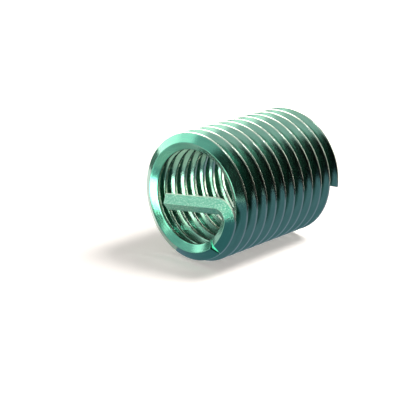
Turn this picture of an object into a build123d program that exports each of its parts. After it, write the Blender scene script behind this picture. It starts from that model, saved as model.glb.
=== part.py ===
from build123d import *
from math import ceil, cos, radians, sin
import os

os.makedirs("parts", exist_ok=True)

# All sizes are in millimetres and all angles in degrees.

# The thread that the insert gives a worn or soft hole is 16 mm across
thread_pitch = 2.0

# The coil as it is wound, a little wider than the tapped hole that it springs into
coil_diameter = 19.0
coil_pitch = 2.065
coil_turns = 10.98
bend_bearing = 14.5

# The lead-in: most of the first turn is wound smaller, off centre, and runs on tangentially
lead_reduction = 0.35
lead_sweep = 285.5

# The tang that the insert is driven in by, and the notch where it is knocked off afterwards
bend_radius = 1.6
bend_turn = 113.0
tang_length = 10.1
notch_offset = 34.5
notch_depth = 0.8
notch_mouth = 1.0

# The wire's rolled section: a V of 60 degrees inside and out, each with a flat crest
flank_run = 3**0.5
inner_crest = thread_pitch / 4
outer_crest = thread_pitch / 8
shoulder = thread_pitch * 7 / 8
inner_depth = (shoulder - inner_crest) / 2 * flank_run
outer_depth = (shoulder - outer_crest) / 2 * flank_run

# The wire is followed along its shoulders, where the two V's meet and the section is widest
wire_radius = coil_diameter / 2 - outer_depth
lead_radius = wire_radius - lead_reduction
joint_bearing = bend_bearing + lead_sweep
lead_rise = coil_pitch * lead_sweep / 360
coil_rise = coil_pitch * coil_turns
turns_after_lead = coil_turns - lead_sweep / 360


def outwards(bearing, distance=1.0):
    """A vector square to the coil's axis, at a bearing about it, while the coil stands upright."""
    return Vector(distance * cos(radians(bearing)), distance * sin(radians(bearing)), 0)


# The smaller circle's centre lies towards the joint, so that both circles share a tangent there
lead_place = Pos(outwards(joint_bearing, lead_reduction)) * Rot(Z=bend_bearing)
lead_run = lead_place * Helix(coil_pitch, lead_rise, lead_radius)

# From the joint on, the wire is followed a turn at a time, so that every turn comes out alike
coil_runs = []
for turn in range(ceil(turns_after_lead)):
    turn_rise = coil_pitch * min(1, turns_after_lead - turn)
    turn_place = Pos(Z=lead_rise + coil_pitch * turn) * Rot(Z=joint_bearing)
    coil_runs.append(turn_place * Helix(coil_pitch, turn_rise, wire_radius))
wire_run = Wire([lead_run, *coil_runs])

start_plane = Plane(wire_run @ 0, x_dir=outwards(bend_bearing), z_dir=wire_run % 0)
bend_axis = Axis(start_plane.from_local_coords((-bend_radius, 0, 0)), start_plane.y_dir)
notch_place = notch_offset / lead_sweep
notch_plane = Plane(
    lead_run @ notch_place,
    x_dir=lead_run % notch_place,
    z_dir=outwards(bend_bearing + notch_offset),
)

with BuildPart() as upright_coil:
    # The rolled section stands across the wire where the coil starts, and follows the run
    with BuildSketch(start_plane) as section:
        with BuildLine():
            Polyline(
                (outer_depth, -outer_crest / 2),
                (outer_depth, outer_crest / 2),
                (0, shoulder / 2),
                (-inner_depth, inner_crest / 2),
                (-inner_depth, -inner_crest / 2),
                (0, -shoulder / 2),
                close=True,
            )
        make_face()
    sweep(path=wire_run, is_frenet=True)

    # The same wire turned inwards at the bend, then straight across the bore
    revolve(section.sketch, axis=bend_axis, revolution_arc=bend_turn)
    extrude(section.sketch.rotate(bend_axis, bend_turn), amount=-tang_length)

    # The notch is a V across the wire's front shoulder, just past the bend
    with BuildSketch(notch_plane):
        with BuildLine():
            Polyline(
                (0, notch_depth - shoulder / 2),
                (-notch_mouth, -notch_depth - shoulder / 2),
                (notch_mouth, -notch_depth - shoulder / 2),
                close=True,
            )
        make_face()
    extrude(amount=thread_pitch, both=True, mode=Mode.SUBTRACT)

# The coil lies on its side: tang towards -Y, and the origin on the axis level with the cut end
with BuildPart() as wire_insert:
    with Locations(Pos(Y=-coil_rise - shoulder / 2)):
        add(upright_coil.part, rotation=(-90, 0, 0))
wire_insert.part.label = "wire_insert"

export_step(wire_insert.part, "parts/wire_insert.step")
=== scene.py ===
from math import ceil, cos, degrees, pi, radians, sin, sqrt

import bmesh
import bpy
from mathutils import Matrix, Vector


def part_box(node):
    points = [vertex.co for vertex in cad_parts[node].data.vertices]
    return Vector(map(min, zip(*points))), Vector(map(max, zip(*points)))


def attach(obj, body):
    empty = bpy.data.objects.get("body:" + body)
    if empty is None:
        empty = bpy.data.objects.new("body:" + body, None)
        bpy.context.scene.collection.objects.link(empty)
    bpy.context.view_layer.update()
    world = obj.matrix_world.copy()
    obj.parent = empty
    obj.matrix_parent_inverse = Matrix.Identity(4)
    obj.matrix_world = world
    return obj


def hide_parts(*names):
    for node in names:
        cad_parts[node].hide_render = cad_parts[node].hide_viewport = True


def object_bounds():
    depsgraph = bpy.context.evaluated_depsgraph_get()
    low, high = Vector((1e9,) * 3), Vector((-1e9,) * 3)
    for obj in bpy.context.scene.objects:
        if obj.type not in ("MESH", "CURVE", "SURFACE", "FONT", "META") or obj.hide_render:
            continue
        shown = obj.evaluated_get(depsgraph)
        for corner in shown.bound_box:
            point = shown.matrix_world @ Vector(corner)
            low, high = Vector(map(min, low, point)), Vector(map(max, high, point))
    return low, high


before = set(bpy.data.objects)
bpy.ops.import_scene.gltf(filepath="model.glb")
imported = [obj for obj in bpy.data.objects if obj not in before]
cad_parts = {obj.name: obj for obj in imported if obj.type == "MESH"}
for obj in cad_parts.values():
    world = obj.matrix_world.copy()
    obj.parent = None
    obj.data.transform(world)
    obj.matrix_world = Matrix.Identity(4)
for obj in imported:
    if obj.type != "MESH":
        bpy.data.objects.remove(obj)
cad_low, cad_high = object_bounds()

MM = 0.001

# ---------------------------------------------------------------- sizes, in millimetres and degrees
box_low, box_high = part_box("wire_insert")
coil_diameter = (box_high.x - box_low.x) / MM
thread_pitch = 2.0
coil_pitch = 2.065
coil_turns = 10.98
bend_bearing = 14.5
lead_reduction = 0.35
lead_sweep = 285.5
bend_radius = 1.6
bend_turn = 113.0
tang_length = 10.1
notch_offset = 34.5
notch_depth = 0.8
notch_mouth = 1.0

# The rolled section, between its inner and outer crests
inner_crest = thread_pitch / 4
outer_crest = thread_pitch / 8
shoulder = thread_pitch * 7 / 8
inner_depth = (shoulder - inner_crest) / 2 * sqrt(3)
outer_depth = (shoulder - outer_crest) / 2 * sqrt(3)

# The visible wire is drawn a hair inside the solid, so that it stays in the solid's box
skin = 0.004
outer_round = 0.05
shoulder_round = 0.10
inner_round = 0.12
end_round = 0.05
# Part of the end's rounding that is left at the section drawn midway round it
end_midway = end_round * 0.3

wire_radius = coil_diameter / 2 - outer_depth
bend_length = radians(bend_turn) * bend_radius
joint_bearing = bend_bearing + lead_sweep
cut_bearing = bend_bearing + 360 * coil_turns
cut_level = -shoulder / 2
notch_bearing = bend_bearing + notch_offset
notch_along = radians(notch_offset) * wire_radius

# How finely the wire is drawn
arc_steps = 4
flank_spacing = 0.14
tang_steps = 40
bend_steps = 36
coil_step = 3.0
notch_steps = 24
# The close sections at the notch reach a little past its mouth on both sides
notch_reach = 1.05


# ---------------------------------------------------------------- the wire's run
def outwards(bearing):
    """Unit vector square to the coil's axis. Bearings turn clockwise as the tang end is seen."""
    return Vector((cos(radians(bearing)), 0, -sin(radians(bearing))))


def wire_station(bearing):
    """Centre of the wire, and its outward, sideways and forward directions, at a bearing along the coil."""
    radius = wire_radius
    shift = Vector((0, 0, 0))
    if bearing < joint_bearing:
        radius -= lead_reduction
        shift = outwards(joint_bearing) * lead_reduction
    level = cut_level - coil_pitch * (cut_bearing - bearing) / 360
    out = outwards(bearing)
    centre = shift + out * radius + Vector((0, level, 0))
    tangent = outwards(bearing + 90) * radius + Vector((0, coil_pitch / (2 * pi), 0))
    tangent.normalize()
    return centre, out, out.cross(tangent), tangent


def bend_station(turned):
    """The same, part-way round the bend that leads from the coil's start into the tang."""
    centre, out, side, tangent = wire_station(bend_bearing)
    pivot = centre - out * bend_radius
    turned_out = out * cos(radians(turned)) - tangent * sin(radians(turned))
    turned_tangent = tangent * cos(radians(turned)) + out * sin(radians(turned))
    return pivot + turned_out * bend_radius, turned_out, side, turned_tangent


def tang_station(distance):
    """The same, at a distance along the straight tang from the end of its bend."""
    centre, out, side, tangent = bend_station(bend_turn)
    return centre - tangent * distance, out, side, tangent


# ---------------------------------------------------------------- the wire's section
def rounded_section(corners):
    """The rolled section with each corner drawn as an arc: a list of (outward, sideways) points."""
    points = []
    for i, (corner, radius) in enumerate(corners):
        here = Vector(corner)
        before = (Vector(corners[i - 1][0]) - here).normalized()
        after = (Vector(corners[(i + 1) % len(corners)][0]) - here).normalized()
        half = before.angle(after) / 2
        centre = here + (before + after).normalized() * (radius / sin(half))
        start = here + before * (radius * cos(half) / sin(half))
        end = here + after * (radius * cos(half) / sin(half))
        for step in range(arc_steps + 1):
            spot = start.lerp(end, step / arc_steps)
            points.append(centre + (spot - centre).normalized() * radius)
    return points


def divided(points):
    """The outline with its straight flanks divided, so that the notch's walls have points to stand on."""
    outline = []
    for here, there in zip(points, points[1:] + points[:1]):
        pieces = max(1, round((there - here).length / flank_spacing))
        outline += [here.lerp(there, piece / pieces) for piece in range(pieces)]
    return outline


section = divided(rounded_section([
    ((outer_depth - skin, -outer_crest / 2), outer_round),
    ((outer_depth - skin, outer_crest / 2), outer_round),
    ((0, shoulder / 2), shoulder_round),
    ((-inner_depth, inner_crest / 2), inner_round),
    ((-inner_depth, -inner_crest / 2), inner_round),
    ((0, -shoulder / 2), shoulder_round),
]))


# ---------------------------------------------------------------- the wire's mesh
# A drawn section is its distance along the wire from the bend, its station, and how much it is shrunk
def tang_sections():
    """Sections from the tang's free end, with its rounded edge, to the bend."""
    backs_and_shrinks = [(0, end_round), (end_midway, end_midway), (end_round, 0)]
    for step in range(1, tang_steps):
        backs_and_shrinks.append((end_round + (tang_length - end_round) * step / tang_steps, 0))
    sections = []
    for back, shrink in backs_and_shrinks:
        distance = tang_length - back
        sections.append((-distance - bend_length, tang_station(distance), shrink))
    return sections


def bend_sections():
    """Sections round the bend, from the tang to the coil."""
    sections = []
    for step in range(bend_steps):
        turned = bend_turn * (1 - step / bend_steps)
        sections.append((-radians(turned) * bend_radius, bend_station(turned), 0))
    return sections


def coil_sections():
    """Sections along the coil, close together at the notch, to the rounded edge of the cut end."""
    notch_half = degrees(notch_mouth / 2 / wire_radius)
    plain_count = ceil((cut_bearing - coil_step / 2 - bend_bearing) / coil_step)
    bearings = [bend_bearing + coil_step * i for i in range(plain_count)]
    bearings = [b for b in bearings if abs(b - notch_bearing) > notch_half + coil_step / 2]
    for step in range(notch_steps + 1):
        bearings.append(notch_bearing + notch_half * notch_reach * (2 * step / notch_steps - 1))
    bearings_and_shrinks = [(bearing, 0) for bearing in sorted(bearings)]
    bearings_and_shrinks += [
        (cut_bearing - degrees(end_round / wire_radius), 0),
        (cut_bearing - degrees(end_midway / wire_radius), end_midway),
        (cut_bearing, end_round),
    ]
    sections = []
    for bearing, shrink in bearings_and_shrinks:
        along = radians(bearing - bend_bearing) * wire_radius
        sections.append((along, wire_station(bearing), shrink))
    return sections


def notch_limit(distance):
    """How far towards the tang end the wire reaches, beside the notch's middle at this distance."""
    return -shoulder / 2 + notch_depth * (1 - abs(distance) / (notch_mouth / 2))


def section_points(along, station, shrink):
    """The section's points in space at a station, cut back where the notch is."""
    centre, out, side, _ = station
    limit = notch_limit(along - notch_along)
    points = []
    for point in section:
        outward, sideways = point * (1 - shrink / point.length)
        points.append((centre + out * outward + side * max(sideways, limit)) * MM)
    return points


def wire_mesh():
    """The wire's skin, with a flat map in millimetres along and around the wire for its finish."""
    sections = tang_sections() + bend_sections() + coil_sections()
    around = [0.0]
    for here, there in zip(section, section[1:] + section[:1]):
        around.append(around[-1] + (there - here).length)

    mesh = bmesh.new()
    flat_map = mesh.loops.layers.uv.new("along_and_around")
    rings = [[mesh.verts.new(point) for point in section_points(*drawn)] for drawn in sections]
    for ring, next_ring, drawn, next_drawn in zip(rings, rings[1:], sections, sections[1:]):
        for i in range(len(section)):
            j = (i + 1) % len(section)
            face = mesh.faces.new((ring[i], ring[j], next_ring[j], next_ring[i]))
            face.smooth = True
            here, there = drawn[0], next_drawn[0]
            corners = (here, around[i]), (here, around[i + 1]), (there, around[i + 1]), (there, around[i])
            for loop, corner in zip(face.loops, corners):
                loop[flat_map].uv = corner
    mesh.faces.new(reversed(rings[0]))
    mesh.faces.new(rings[-1])
    bmesh.ops.recalc_face_normals(mesh, faces=mesh.faces)
    data = bpy.data.meshes.new("coated_wire")
    mesh.to_mesh(data)
    mesh.free()
    return data


def add_object(name, data):
    """Puts an object with this data into the scene."""
    piece = bpy.data.objects.new(name, data)
    bpy.context.scene.collection.objects.link(piece)
    return piece


# ---------------------------------------------------------------- the wire's finish
def linear(hex_colour):
    """An sRGB hex colour as linear red, green, blue and alpha."""
    channels = [int(hex_colour[i:i + 2], 16) / 255 for i in (1, 3, 5)]
    curve = [c / 12.92 if c <= 0.04045 else ((c + 0.055) / 1.055) ** 2.4 for c in channels]
    return (*curve, 1.0)


def node(tree, kind, settings=None, inputs=None):
    """Adds a shader node, sets its properties, and fills or links its inputs."""
    made = tree.nodes.new(kind)
    for key, value in (settings or {}).items():
        setattr(made, key, value)
    for key, value in (inputs or {}).items():
        if isinstance(value, bpy.types.NodeSocket):
            tree.links.new(value, made.inputs[key])
        else:
            made.inputs[key].default_value = value
    return made


def empty_material(name):
    """A new material with no nodes, and its node tree."""
    material = bpy.data.materials.new(name)
    material.use_nodes = True
    material.node_tree.nodes.clear()
    return material, material.node_tree


# Sizes of the finish, in millimetres. Rolling lines are a few hundredths of a millimetre apart
line_length, line_spacing = 3.0, 0.05
patch_length, patch_width = 2.5, 0.6
grain_size = 0.16
# Distances along the wire from the bend, over which the grain and the full green end, and the paler green, a
# painted reflection, comes in
grain_full, grain_gone = -2.5, 0.5
full_green_end, painted_paler_green_start = 40.0, 60.0
# The outer and the inner crest lie half the section's outline apart. The outline starts at the outer one
crest_to_crest = 3.12
first_crest_angle = 0.2
# Heights of the lines and grains, in metres
line_height = 0.00002
grain_height = 0.00012


def green_coated_stainless():
    """Rolled stainless wire under a thin green film: a tinted mirror, with fine lines along the wire."""
    material, tree = empty_material("green_coated_rolled_stainless")
    place = node(tree, "ShaderNodeUVMap", {"uv_map": "along_and_around"}).outputs[0]
    along_and_around = node(tree, "ShaderNodeSeparateXYZ", None, {0: place}).outputs
    along, around = along_and_around["X"], along_and_around["Y"]

    # Rolling leaves lines along the wire, which break its reflections into fine streaks
    line_place = node(tree, "ShaderNodeVectorMath", {"operation": "MULTIPLY"},
                      {0: place, 1: (1 / line_length, 1 / line_spacing, 1)})
    lines = node(tree, "ShaderNodeTexNoise", {"noise_dimensions": "2D"},
                 {"Vector": line_place.outputs[0], "Scale": 1.0, "Detail": 2.0})
    # The film is a little uneven, in soft patches that shift its green
    patch_place = node(tree, "ShaderNodeVectorMath", {"operation": "MULTIPLY"},
                       {0: place, 1: (1 / patch_length, 1 / patch_width, 1)})
    patches = node(tree, "ShaderNodeTexNoise", {"noise_dimensions": "2D"},
                   {"Vector": patch_place.outputs[0], "Scale": 1.0, "Detail": 3.0})
    # Cutting and bending leave the tang grainy and duller, from the bend to its free end
    grain_place = node(tree, "ShaderNodeVectorMath", {"operation": "MULTIPLY"},
                       {0: place, 1: (1 / grain_size, 1 / grain_size, 1)})
    grain = node(tree, "ShaderNodeTexNoise", {"noise_dimensions": "2D"},
                 {"Vector": grain_place.outputs[0], "Scale": 1.0, "Detail": 3.0, "Roughness": 0.6})
    on_tang = node(tree, "ShaderNodeMapRange", {"interpolation_type": "SMOOTHSTEP"},
                   {"Value": along, "From Min": grain_gone, "From Max": grain_full,
                    "To Min": 0.0, "To Max": 1.0}).outputs[0]

    # The green is full on the tang and the first turn, and paler and greyer along the rest of the coil: a
    # painted reflection, standing in for the whiter, greyer look the further turns take from what they mirror
    full_green = node(tree, "ShaderNodeMix", {"data_type": "RGBA"},
                      {"Factor": patches.outputs[0], "A": linear("#3d8a77"), "B": linear("#509e87")})
    painted_paler_green = node(tree, "ShaderNodeMix", {"data_type": "RGBA"},
                      {"Factor": patches.outputs[0], "A": linear("#5f9482"), "B": linear("#7dac9a")})
    further_on = node(tree, "ShaderNodeMapRange", {"interpolation_type": "SMOOTHSTEP"},
                      {"Value": along, "From Min": full_green_end, "From Max": painted_paler_green_start})
    flank_green_with_painted_reflection = node(tree, "ShaderNodeMix", {"data_type": "RGBA"},
                      {"Factor": further_on.outputs[0],
                       "A": full_green.outputs["Result"], "B": painted_paler_green.outputs["Result"]})
    # A pale, steel-like colour is painted along the two crests, as bright lines round the coil: painted
    # highlights for the gleams on the crests
    crest_angle = node(tree, "ShaderNodeMath", {"operation": "MULTIPLY_ADD"},
                       {0: around, 1: 2 * pi / crest_to_crest, 2: -first_crest_angle})
    crest_wave = node(tree, "ShaderNodeMath", {"operation": "COSINE"}, {0: crest_angle.outputs[0]})
    painted_crest_highlight_mask = node(tree, "ShaderNodeMapRange", {"interpolation_type": "SMOOTHSTEP"},
                    {"Value": crest_wave.outputs[0], "From Min": 0.86, "From Max": 0.99, "To Max": 0.5})
    film_and_painted_crest_highlights = node(tree, "ShaderNodeMix", {"data_type": "RGBA"},
                {"Factor": painted_crest_highlight_mask.outputs[0], "A": flank_green_with_painted_reflection.outputs["Result"], "B": linear("#d8d6ca")})
    # Paler specks stand on the tang's grain
    specks = node(tree, "ShaderNodeMapRange", None,
                  {"Value": grain.outputs[0], "From Min": 0.52, "From Max": 0.66,
                   "To Min": 0.0, "To Max": 0.55})
    specks_on_tang = node(tree, "ShaderNodeMath", {"operation": "MULTIPLY"},
                          {0: specks.outputs[0], 1: on_tang})
    colour = node(tree, "ShaderNodeMix", {"data_type": "RGBA"},
                  {"Factor": specks_on_tang.outputs[0], "A": film_and_painted_crest_highlights.outputs["Result"], "B": linear("#cdeedd")})

    # The coil is polished by the rolls, more in some lines than in others, and the tang isn't
    polish = node(tree, "ShaderNodeMapRange", None,
                  {"Value": lines.outputs[0], "From Min": 0.3, "From Max": 0.7,
                   "To Min": 0.13, "To Max": 0.22})
    roughness = node(tree, "ShaderNodeMapRange", None,
                     {"Value": on_tang, "To Min": polish.outputs[0], "To Max": 0.42})
    line_bump = node(tree, "ShaderNodeBump", None,
                     {"Strength": 0.12, "Distance": line_height, "Height": lines.outputs[0]})
    grain_relief = node(tree, "ShaderNodeMath", {"operation": "MULTIPLY"}, {0: grain.outputs[0], 1: on_tang})
    grain_bump = node(tree, "ShaderNodeBump", None,
                      {"Strength": 0.9, "Distance": grain_height, "Height": grain_relief.outputs[0],
                       "Normal": line_bump.outputs[0]})
    # The coat is the clear top of the film, which keeps the brightest reflections white
    shader = node(tree, "ShaderNodeBsdfPrincipled", None, {
        "Base Color": colour.outputs["Result"],
        "Metallic": 1.0,
        "Roughness": roughness.outputs[0],
        "Coat Weight": 0.8,
        "Coat Roughness": 0.14,
        "Normal": grain_bump.outputs[0],
    })
    node(tree, "ShaderNodeOutputMaterial", None, {"Surface": shader.outputs[0]})
    return material


wire = add_object("coated_wire", wire_mesh())
wire.data.materials.append(green_coated_stainless())
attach(wire, "root")
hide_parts("wire_insert")

# ---------------------------------------------------------------- the studio's floor and room
x_axis, y_axis, z_axis = (1, 0, 0), (0, 1, 0), (0, 0, 1)
middle = Vector((0, (box_low.y + box_high.y) / 2, 0))
floor_level = cad_low.z
floor_side = 1600
# The paper glows up to pure white between these distances from the insert, in metres
glow_start, glow_full = 0.03, 0.10
glow_near, glow_far = 0.36, 1.0
room_light, room_seen = 0.3, 1.0


def backdrop_rays(tree):
    """1 for the rays that should meet a white background: those of the camera, of gloss and of glass."""
    rays = node(tree, "ShaderNodeLightPath").outputs
    mirrored = node(tree, "ShaderNodeMath", {"operation": "MAXIMUM"},
                    {0: rays["Is Glossy Ray"], 1: rays["Is Transmission Ray"]})
    seen = node(tree, "ShaderNodeMath", {"operation": "MAXIMUM"},
                {0: rays["Is Camera Ray"], 1: mirrored.outputs[0]})
    return seen.outputs[0]


def white_paper():
    """Matt white paper that goes to pure white away from the insert, and keeps its shadow."""
    material, tree = empty_material("white_paper_sweep")
    spot = node(tree, "ShaderNodeTexCoord").outputs["Object"]
    away = node(tree, "ShaderNodeVectorMath", {"operation": "LENGTH"}, {0: spot})
    glow = node(tree, "ShaderNodeMapRange", {"interpolation_type": "SMOOTHSTEP"},
                {"Value": away.outputs["Value"], "From Min": glow_start, "From Max": glow_full,
                 "To Min": glow_near, "To Max": glow_far})
    level = node(tree, "ShaderNodeMath", {"operation": "MULTIPLY"},
                 {0: glow.outputs[0], 1: backdrop_rays(tree)})
    paper = node(tree, "ShaderNodeBsdfDiffuse", None, {"Color": linear("#f1ebe6")})
    light = node(tree, "ShaderNodeEmission", None, {"Color": linear("#fff6f2"), "Strength": level.outputs[0]})
    both = node(tree, "ShaderNodeAddShader", None, {0: paper.outputs[0], 1: light.outputs[0]})
    node(tree, "ShaderNodeOutputMaterial", None, {"Surface": both.outputs[0]})
    return material


def flat_sheet(name, centre, across, upwards, width, height, material):
    """A rectangle with the given middle and directions. Its middle, width and height are in millimetres."""
    across = Vector(across).normalized() * width * MM / 2
    upwards = Vector(upwards).normalized() * height * MM / 2
    corners = [-across - upwards, across - upwards, across + upwards, upwards - across]
    data = bpy.data.meshes.new(name)
    data.from_pydata(corners, [], [(0, 1, 2, 3)])
    sheet = add_object(name, data)
    sheet.location = Vector(centre) * MM
    sheet.data.materials.append(material)
    return sheet


floor_middle = (0, middle.y / MM, floor_level / MM)
flat_sheet("floor", floor_middle, x_axis, y_axis, floor_side, floor_side, white_paper())

world = bpy.data.worlds.new("white_room")
bpy.context.scene.world = world
world.use_nodes = True
world.node_tree.nodes.clear()
level = node(world.node_tree, "ShaderNodeMapRange", None,
             {"Value": backdrop_rays(world.node_tree), "To Min": room_light, "To Max": room_seen})
room = node(world.node_tree, "ShaderNodeBackground", None,
            {"Color": (1, 1, 1, 1), "Strength": level.outputs[0]})
node(world.node_tree, "ShaderNodeOutputWorld", None, {"Surface": room.outputs[0]})

# ---------------------------------------------------------------- the camera, lamp and cards
# The camera looks at the tang end from the right and a little above, with the insert off to the right
camera_azimuth, camera_elevation = radians(42.87), radians(17.48)
camera_distance = 0.1751
camera_left, camera_down = 0.005901, 0.002508
towards_camera = Vector((sin(camera_azimuth), -cos(camera_azimuth), 0))
back = towards_camera * cos(camera_elevation) + Vector(z_axis) * sin(camera_elevation)
right = Vector((cos(camera_azimuth), sin(camera_azimuth), 0))
up = back.cross(right)

camera_data = bpy.data.cameras.new("camera")
camera_data.sensor_width = 36.0
camera_data.lens = 106.821
camera = add_object("camera", camera_data)
camera.location = middle + back * camera_distance - right * camera_left - up * camera_down
camera.rotation_mode = "QUATERNION"
camera.rotation_quaternion = (-back).to_track_quat("-Z", "Y")
bpy.context.scene.camera = camera


def softbox(name, place, side, watts):
    """A square soft lamp that faces the insert, placed from the insert's middle in metres."""
    data = bpy.data.lights.new(name, "AREA")
    data.shape = "SQUARE"
    data.size = side
    data.energy = watts
    lamp = add_object(name, data)
    lamp.location = middle + Vector(place)
    lamp.rotation_mode = "QUATERNION"
    lamp.rotation_quaternion = (-Vector(place)).to_track_quat("-Z", "Y")
    lamp.visible_camera = False


def card(name, centre, across, upwards, width, height, colour, strength):
    """A studio card for the metal to mirror. It lights nothing, and only gloss sees it."""
    material, tree = empty_material(name)
    light = node(tree, "ShaderNodeEmission", None, {"Color": linear(colour), "Strength": strength})
    node(tree, "ShaderNodeOutputMaterial", None, {"Surface": light.outputs[0]})
    sheet = flat_sheet(name, centre, across, upwards, width, height, material)
    sheet.visible_camera = False
    sheet.visible_shadow = False
    sheet.visible_diffuse = False


# High behind the insert's right, so that its shadow falls to the left and a little forwards
softbox("key_softbox", (0.11, 0.13, 0.27), 0.12, 1.15)

backdrop_middle = middle / MM - towards_camera * 100 + Vector((0, 0, 32))
on_floor, just_above_floor = floor_level / MM + 0.1, floor_level / MM + 0.2

# White gleams along the top crests and through the cut end
card("white_backdrop_card", backdrop_middle, right, z_axis, 340, 83, "#fff6ea", 7.0)
card("white_crest_card", (72, 56, 35), (0.73, -0.68, 0), z_axis, 34, 88, "#fffaf2", 9.0)
# Soft light on the upper left of the first turn and on the tang
card("white_left_card", (-85, -34, 31), y_axis, z_axis, 85, 42, "#fff8f0", 3.2)
card("pale_high_left_card", (-65, -73, 55), (0.68, -0.73, 0), (0.3, 0.3, 0.9), 30, 34, "#fffaf4", 2.6)
card("pale_top_card", (-30, -40, 75), x_axis, y_axis, 60, 90, "#fffaf4", 1.15)
# The dark line down the left edge of the first turn
card("dark_low_left_card", (-84, -10, 0), y_axis, z_axis, 85, 19, "#5c7a70", 1.0)
# The black band across the right of the coil
card("dark_side_card", (44, -15, 52), y_axis, (-0.6, 0, 0.8), 160, 56, "#232321", 1.0)
card("black_front_card", (46, -95, 20), x_axis, z_axis, 125, 60, "#141210", 1.0)
card("black_right_card", (28, -35, 10), y_axis, z_axis, 120, 39, "#0c0a09", 1.0)
# The white gleam at the left of the first turn, and those on the turns inside
card("white_kicker_card", (0.5, -50, -6), x_axis, z_axis, 13, 7, "#fff8f2", 12.0)
card("white_inner_card", (3, -50.5, 3), x_axis, z_axis, 9, 13, "#fff3e6", 14.0)
card("white_inner_low_card", (-4.5, -50.5, 11), x_axis, z_axis, 10, 8, "#fff3e6", 5.0)
card("pale_front_floor_card", (-4, -33, just_above_floor), x_axis, y_axis, 8, 14, "#fff3e6", 1.3)
# The blue-grey cast on the lower right
card("grey_floor_card", (24, -22, on_floor), x_axis, y_axis, 56, 90, "#9aaec4", 0.78)

bpy.context.scene.view_settings.view_transform = "Standard"
